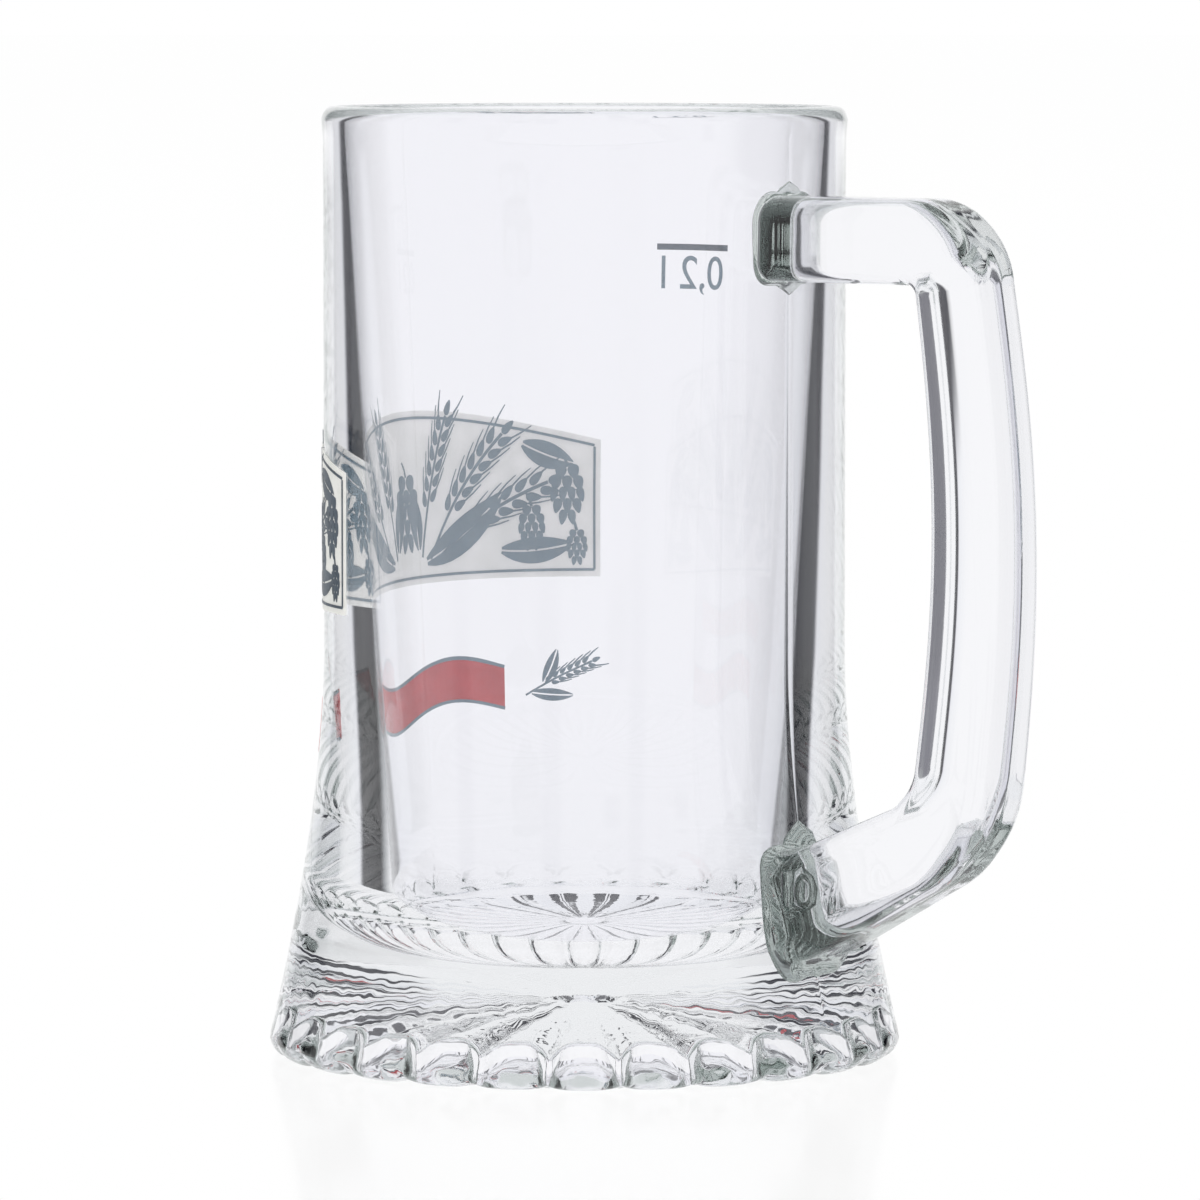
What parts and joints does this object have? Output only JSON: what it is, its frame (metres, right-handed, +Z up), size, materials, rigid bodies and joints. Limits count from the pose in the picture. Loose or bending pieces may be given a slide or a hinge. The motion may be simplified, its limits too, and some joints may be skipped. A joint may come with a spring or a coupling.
{
  "type": "beer mug",
  "caption": "Heavy pressed-glass beer mug with a flared foot ringed by beads, a fluted star base, an applied D-shaped handle and a fired enamel print with a fill line.",
  "frame": {"origin": "on the table, at the middle of the footprint box of vessel and handle; the vessel's axis stands 14.2 mm along +X from it", "axes": "+Z up along the vessel's axis, -X along the handle, +X through the middle of the print"},
  "size_m": [0.1084, 0.08, 0.12],
  "materials": {
    "glass_body": "clear soda-lime glass, fire-polished",
    "glass_handle": "clear soda-lime glass, fire-polished",
    "picture_panel": "fired enamel, pale warm grey, satin",
    "red_ribbon": "fired enamel, red, satin",
    "fill_line": "fired enamel, slate grey, satin"
  },
  "bodies": {
    "root": {"glass_body": "glass_body", "glass_handle": "glass_handle", "picture_panel": "picture_panel", "red_ribbon": "red_ribbon", "fill_line": "fill_line"}
  },
  "joints": []
}
